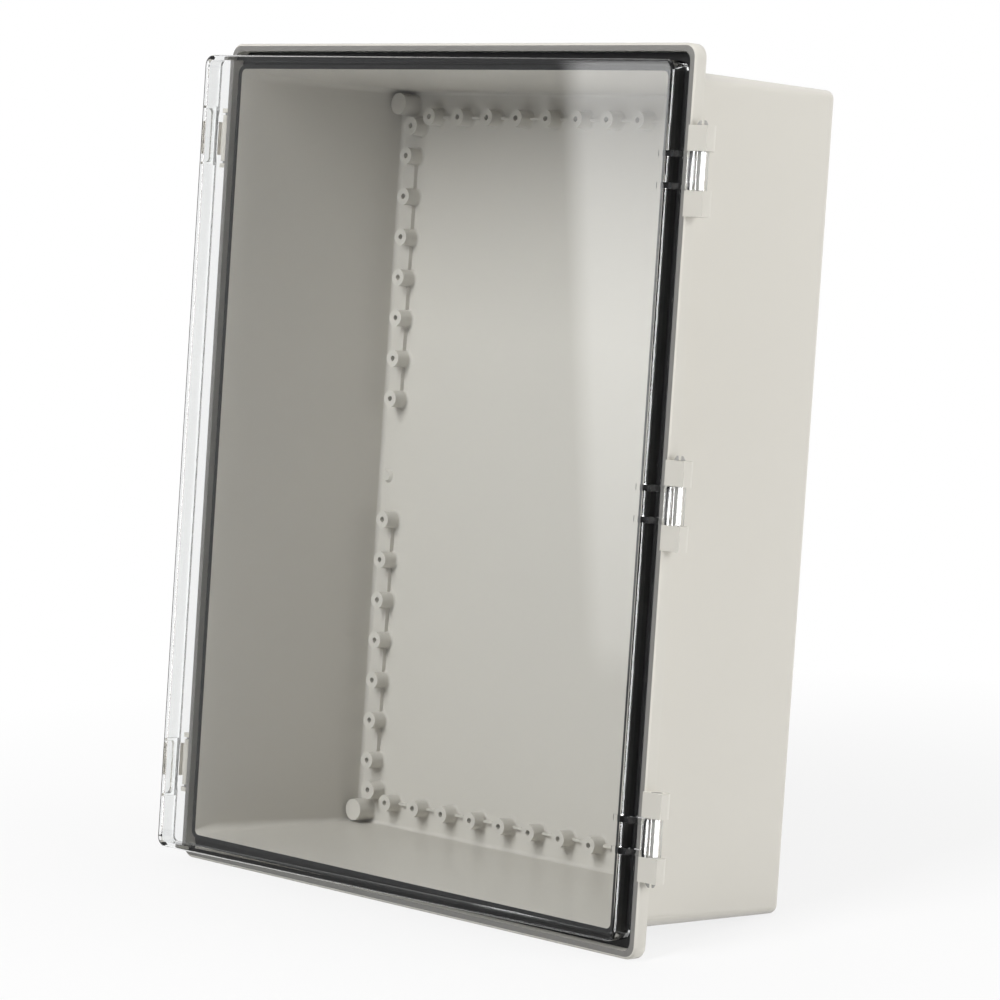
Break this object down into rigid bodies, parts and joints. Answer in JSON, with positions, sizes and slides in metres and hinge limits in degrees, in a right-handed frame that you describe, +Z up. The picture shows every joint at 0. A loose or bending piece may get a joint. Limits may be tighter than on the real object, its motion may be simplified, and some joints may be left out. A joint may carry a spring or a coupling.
{
  "type": "plastic enclosure",
  "caption": "Rectangular moulded wall enclosure with a clear hinged door, a seal in its front flange, hooked side latches and rows of screw bosses inside.",
  "frame": {"origin": "centre of the flat back face that goes against the wall", "axes": "+X to the right seen from the front, +Y to the back, out of the wall face, +Z up"},
  "size_m": [0.4133, 0.1659, 0.5],
  "materials": {
    "abs_box": "fine matt",
    "seal": "matt foam",
    "clear_door": "clear polished",
    "hinge_pin": "satin",
    "abs_latch": "fine matt",
    "latch_pin": "drawn wire"
  },
  "bodies": {
    "base": {"base_box": "abs_box", "door_seal": "seal", "hinge_pin_top": "hinge_pin", "hinge_pin_middle": "hinge_pin", "hinge_pin_bottom": "hinge_pin", "latch_pin_upper": "latch_pin", "latch_pin_lower": "latch_pin"},
    "door": {"clear_door": "clear_door"},
    "upper_latch": {"latch_upper": "abs_latch"},
    "lower_latch": {"latch_lower": "abs_latch"}
  },
  "joints": [
    {"name": "door_hinge", "type": "hinge", "parent": "base", "child": "door", "pos_m": [0.1976, -0.1335, 0], "axis": [0, 0, 1], "range_deg": [-3.4, 170]},
    {"name": "upper_latch_hinge", "type": "hinge", "parent": "base", "child": "upper_latch", "pos_m": [-0.1958, -0.1315, 0.1925], "axis": [0, 0, 1], "range_deg": [0, 180]},
    {"name": "lower_latch_hinge", "type": "hinge", "parent": "base", "child": "lower_latch", "pos_m": [-0.1958, -0.1315, -0.1925], "axis": [0, 0, 1], "range_deg": [0, 180]}
  ]
}
